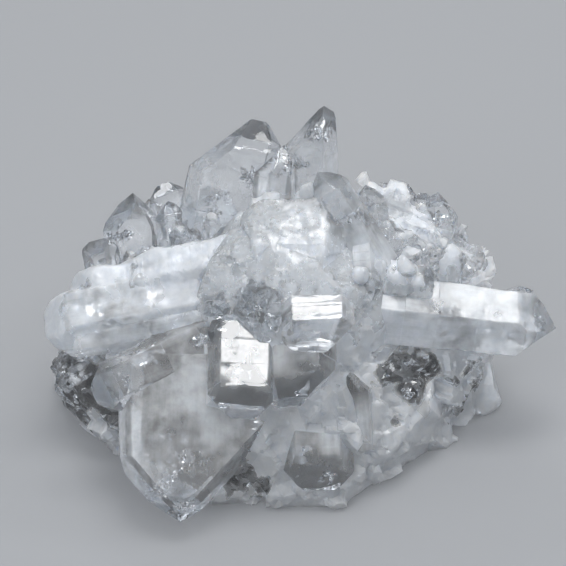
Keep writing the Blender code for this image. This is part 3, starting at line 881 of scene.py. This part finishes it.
class Nodes:
    """The node tree of a new material, with short ways to add and join nodes."""

    def __init__(self, name):
        self.material = bpy.data.materials.new(name)
        self.material.use_nodes = True
        self.tree = self.material.node_tree
        self.shader = self.tree.nodes["Principled BSDF"]
        self.output = self.tree.nodes["Material Output"]

    def add(self, kind, inputs=(), **settings):
        """A node with its settings, its inputs given by name or number as values or as outputs of other nodes."""
        node = self.tree.nodes.new(kind)
        for key, value in settings.items():
            setattr(node, key, value)
        for key, value in dict(inputs).items():
            self.join(node.inputs[key], value)
        return node

    def join(self, socket, value):
        if isinstance(value, bpy.types.NodeSocket):
            self.tree.links.new(value, socket)
        else:
            socket.default_value = value

    def set(self, name, value):
        self.join(self.shader.inputs[name], value)

    def math(self, operation, first, second=0.0, clamp=False):
        node = self.add("ShaderNodeMath", {0: first, 1: second}, operation=operation, use_clamp=clamp)
        return node.outputs[0]

    def ramp(self, value, low, high, to_low=0.0, to_high=1.0, smooth=True):
        """The value moved from one range to another, held within it."""
        kind = "SMOOTHSTEP" if smooth else "LINEAR"
        node = self.add("ShaderNodeMapRange", {0: value, 1: low, 2: high, 3: to_low, 4: to_high}, interpolation_type=kind)
        return node.outputs[0]

    def attribute(self, name):
        return self.add("ShaderNodeAttribute", attribute_name=name).outputs["Fac"]

    def place(self):
        """The place on the object in millimetres."""
        here = self.add("ShaderNodeTexCoord").outputs["Object"]
        return self.add("ShaderNodeVectorMath", {0: here, 3: 1000.0}, operation="SCALE").outputs[0]

    def grain(self, place, size, detail=2.0, roughness=0.5):
        """Noise whose lumps are about size millimetres across, from 0 to 1."""
        inputs = {"Vector": place, "Scale": 1 / size, "Detail": detail, "Roughness": roughness}
        return self.add("ShaderNodeTexNoise", inputs).outputs["Fac"]

    def blend(self, share, first, second):
        node = self.add("ShaderNodeMix", data_type="RGBA")
        self.join(node.inputs["Factor"], share)
        self.join(node.inputs[6], first)
        self.join(node.inputs[7], second)
        return node.outputs[2]

    def relief(self, heights):
        """Bump from (height, depth in millimetres) pairs, one after the other."""
        normal = None
        for height, depth in heights:
            node = self.add("ShaderNodeBump", {"Height": height, "Distance": depth * MM})
            if normal is not None:
                self.join(node.inputs["Normal"], normal)
            normal = node.outputs[0]
        self.set("Normal", normal)

    def absorb(self, colour, density):
        node = self.add("ShaderNodeVolumeAbsorption", {"Color": colour, "Density": density})
        self.tree.links.new(node.outputs[0], self.output.inputs["Volume"])


def quartz_material():
    nodes = Nodes("clear_quartz")
    place = nodes.place()
    grown = nodes.add("ShaderNodeAttribute", attribute_name="grown").outputs["Vector"]
    milk = nodes.attribute("milk")
    tip_gap = nodes.attribute("tip_gap")
    growth = nodes.attribute("growth")
    cloud = nodes.grain(place, 6, 5, 0.58)
    along_point = nodes.add("ShaderNodeVectorMath", {0: grown, 1: (1.2, 1.2, 0.16)}, operation="MULTIPLY").outputs[0]
    streaks = nodes.grain(along_point, 1.4, 4, 0.6)
    streaked = nodes.ramp(streaks, 0.3, 0.7, -1, 1)
    streak_depth = nodes.ramp(milk, 0.4, 0.65, 0.14, 0.5)
    uneven = nodes.math("ADD", nodes.ramp(cloud, 0.3, 0.7, -0.55, 0.55), nodes.math("MULTIPLY", streaked, streak_depth))
    clear = nodes.math("SUBTRACT", 1.0, milk)
    clear = nodes.math("ADD", nodes.math("MULTIPLY", nodes.math("MULTIPLY", clear, clear), 1.7), 0.15)
    deep = nodes.math("MAXIMUM", nodes.ramp(tip_gap, 1.5, 8, 0.15, 1.2), nodes.ramp(milk, 0.5, 0.65, 0, 1))
    cloudy = nodes.math("MULTIPLY", milk, deep)
    cloudy = nodes.math("MULTIPLY", cloudy, nodes.math("ADD", 1.0, nodes.math("MULTIPLY", uneven, clear)), clamp=True)
    nodes.set("Transmission Weight", nodes.ramp(cloudy, 0, 1, 1, 0.25, smooth=False))
    fleck = nodes.grain(place, 0.7, 5, 0.7)
    milk_colour = nodes.blend(nodes.ramp(fleck, 0.35, 0.65), (0.73, 0.765, 0.82, 1), (0.87, 0.895, 0.94, 1))
    milk_colour = nodes.blend(nodes.ramp(milk, 0.68, 0.9), milk_colour, (0.95, 0.965, 0.99, 1))
    nodes.set("Base Color", nodes.blend(cloudy, (0.95, 0.965, 0.985, 1), milk_colour))
    frost = nodes.ramp(nodes.grain(place, 0.8, 3, 0.7), 0.5, 0.8, 0.01, 0.1)
    dull = nodes.ramp(milk, 0.35, 0.7, 0.0, 0.3)
    nodes.set("Roughness", nodes.math("ADD", dull, frost))
    nodes.set("IOR", 1.55)
    nodes.set("Subsurface Weight", 1.0)
    nodes.set("Subsurface Radius", (1.0, 1.05, 1.1))
    nodes.set("Subsurface Scale", 0.002)
    stripes_at = nodes.add("ShaderNodeCombineXYZ", {"X": nodes.math("MULTIPLY", tip_gap, 3.0), "Y": milk}).outputs[0]
    stripes = nodes.add("ShaderNodeTexNoise", {"Vector": stripes_at, "Scale": 1.0, "Detail": 3.0}).outputs["Fac"]
    stripes = nodes.math("MULTIPLY", stripes, growth)
    nodes.relief([
        (nodes.grain(place, 2.5, 2), 0.02),
        (stripes, 0.012),
        (nodes.grain(place, 0.5, 3), 0.006),
        (nodes.math("MULTIPLY", nodes.grain(place, 0.9, 5, 0.65), dull), 0.11),
    ])
    nodes.absorb((0.84, 0.92, 1, 1), 6.0)
    return nodes.material


def broken_material():
    nodes = Nodes("broken_quartz")
    place = nodes.place()
    milk = nodes.attribute("milk")
    cloud = nodes.grain(place, 4, 4, 0.6)
    crumb = nodes.grain(place, 0.6, 4, 0.7)
    cloudy = nodes.math("MULTIPLY", milk, nodes.ramp(cloud, 0.3, 0.7, 0.7, 1.3), clamp=True)
    nodes.set("Transmission Weight", nodes.ramp(cloudy, 0, 1, 0.95, 0.5, smooth=False))
    # The darker colour goes where the milk is low: partly random tone, partly painted shade where the foot lies under
    # the arms
    nodes.set("Base Color", nodes.blend(nodes.ramp(cloudy, 0.1, 0.9), (0.74, 0.765, 0.81, 1), (0.84, 0.86, 0.9, 1)))
    nodes.set("Roughness", nodes.ramp(crumb, 0.3, 0.7, 0.04, 0.24))
    nodes.set("IOR", 1.55)
    nodes.set("Subsurface Weight", 1.0)
    nodes.set("Subsurface Radius", (1.0, 1.05, 1.1))
    nodes.set("Subsurface Scale", 0.0015)
    nodes.relief([(crumb, 0.13), (nodes.grain(place, 0.25, 3), 0.03)])
    nodes.absorb((0.85, 0.93, 1, 1), 4.0)
    return nodes.material


def crack_material():
    """The silvery skin of a healed crack."""
    nodes = Nodes("healed_crack")
    nodes.set("Base Color", (0.95, 0.97, 1, 1))
    nodes.set("Transmission Weight", 0.75)
    nodes.set("Roughness", 0.06)
    nodes.set("IOR", 1.55)
    return nodes.material


def floor_material():
    nodes = Nodes("studio_floor")
    nodes.set("Base Color", (0.31, 0.315, 0.325, 1))
    nodes.set("Roughness", 0.8)
    return nodes.material


def add_floor():
    bpy.ops.mesh.primitive_plane_add(size=6)
    floor = bpy.context.object
    floor.name = "studio_floor"
    floor.data.materials.append(floor_material())


def softbox(name, direction, distance, size, radiance, colour, shadow=True):
    """A square light that looks at the cluster's middle. Sizes are metres."""
    data = bpy.data.lights.new(name, "AREA")
    data.shape = "SQUARE"
    data.size = size
    data.energy = radiance * math.pi * size * size
    data.color = colour
    data.use_shadow = shadow
    light = bpy.data.objects.new(name, data)
    bpy.context.scene.collection.objects.link(light)
    aim = Vector((0, 0, 0.02))
    light.location = aim + Vector(direction).normalized() * distance
    light.rotation_euler = (aim - light.location).to_track_quat("-Z", "Y").to_euler()


# The air of the studio: sine of the height over the floor, and colour
SKY = (
    (0.05, (0.03, 0.035, 0.04, 1)),
    (0.5, (0.16, 0.175, 0.19, 1)),
    (0.8, (0.93, 0.96, 1, 1)),
)
SKY_STRENGTH = 1.6


def light_studio():
    scene = bpy.context.scene
    world = bpy.data.worlds.new("studio_air")
    world.use_nodes = True
    tree = world.node_tree
    background = tree.nodes["Background"]
    height = tree.nodes.new("ShaderNodeSeparateXYZ")
    tree.links.new(tree.nodes.new("ShaderNodeTexCoord").outputs["Generated"], height.inputs[0])
    sky = tree.nodes.new("ShaderNodeValToRGB")
    low, high = sky.color_ramp.elements
    low.position, low.color = SKY[0]
    high.position, high.color = SKY[2]
    between = sky.color_ramp.elements.new(SKY[1][0])
    between.color = SKY[1][1]
    tree.links.new(height.outputs["Z"], sky.inputs["Fac"])
    tree.links.new(sky.outputs["Color"], background.inputs["Color"])
    background.inputs["Strength"].default_value = SKY_STRENGTH
    scene.world = world
    softbox("overhead", (0, 0.1, 1), 0.5, 0.16, 10.5, (1, 1, 1))
    softbox("overhead_through", (0, 0.1, 1), 0.501, 0.16, 8, (1, 1, 1), shadow=False)
    softbox("over_right_arm", (0.356, 0.175, 1), 0.51, 0.1, 10, (1, 1, 1))
    softbox("front_left", (-0.8, -1, 0.9), 0.7, 0.3, 2.8, (0.95, 0.97, 1))
    softbox("front_through", (0.3, -1, 0.6), 0.8, 0.3, 1.7, (0.95, 0.97, 1), shadow=False)
    softbox("right_strip", (1, 0.1, 0.6), 0.6, 0.12, 10, (0.95, 0.97, 1))
    softbox("back_strip", (-0.4, 1, 0.8), 0.6, 0.12, 10, (0.95, 0.97, 1))


def cycles_settings():
    scene = bpy.context.scene
    scene.cycles.max_bounces = 28
    scene.cycles.transmission_bounces = 24
    scene.cycles.glossy_bounces = 12
    scene.cycles.diffuse_bounces = 4
    scene.cycles.transparent_max_bounces = 8
    scene.cycles.sample_clamp_indirect = 12
    scene.cycles.use_denoising = True
    scene.view_settings.view_transform = "Standard"
    scene.view_settings.exposure = -0.48


import time
started = time.time()
shapes = all_shapes()
print("shapes", round(time.time() - started, 1), sum(len(s.solid.faces) for s in shapes))
cluster = joined_shapes(shapes)
print("joined", round(time.time() - started, 1), len(cluster.data.polygons))
cluster.name = "quartz_points"
middle = dress_mesh(cluster, shapes)
print("dressed", round(time.time() - started, 1), len(cluster.data.polygons), middle)
cluster.data.materials.clear()
cluster.data.materials.append(quartz_material())
cluster.data.materials.append(broken_material())
cluster.data.materials.append(crack_material())
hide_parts(NODE)
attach(cluster, "root")
add_floor()
light_studio()
place_camera(middle)
cycles_settings()
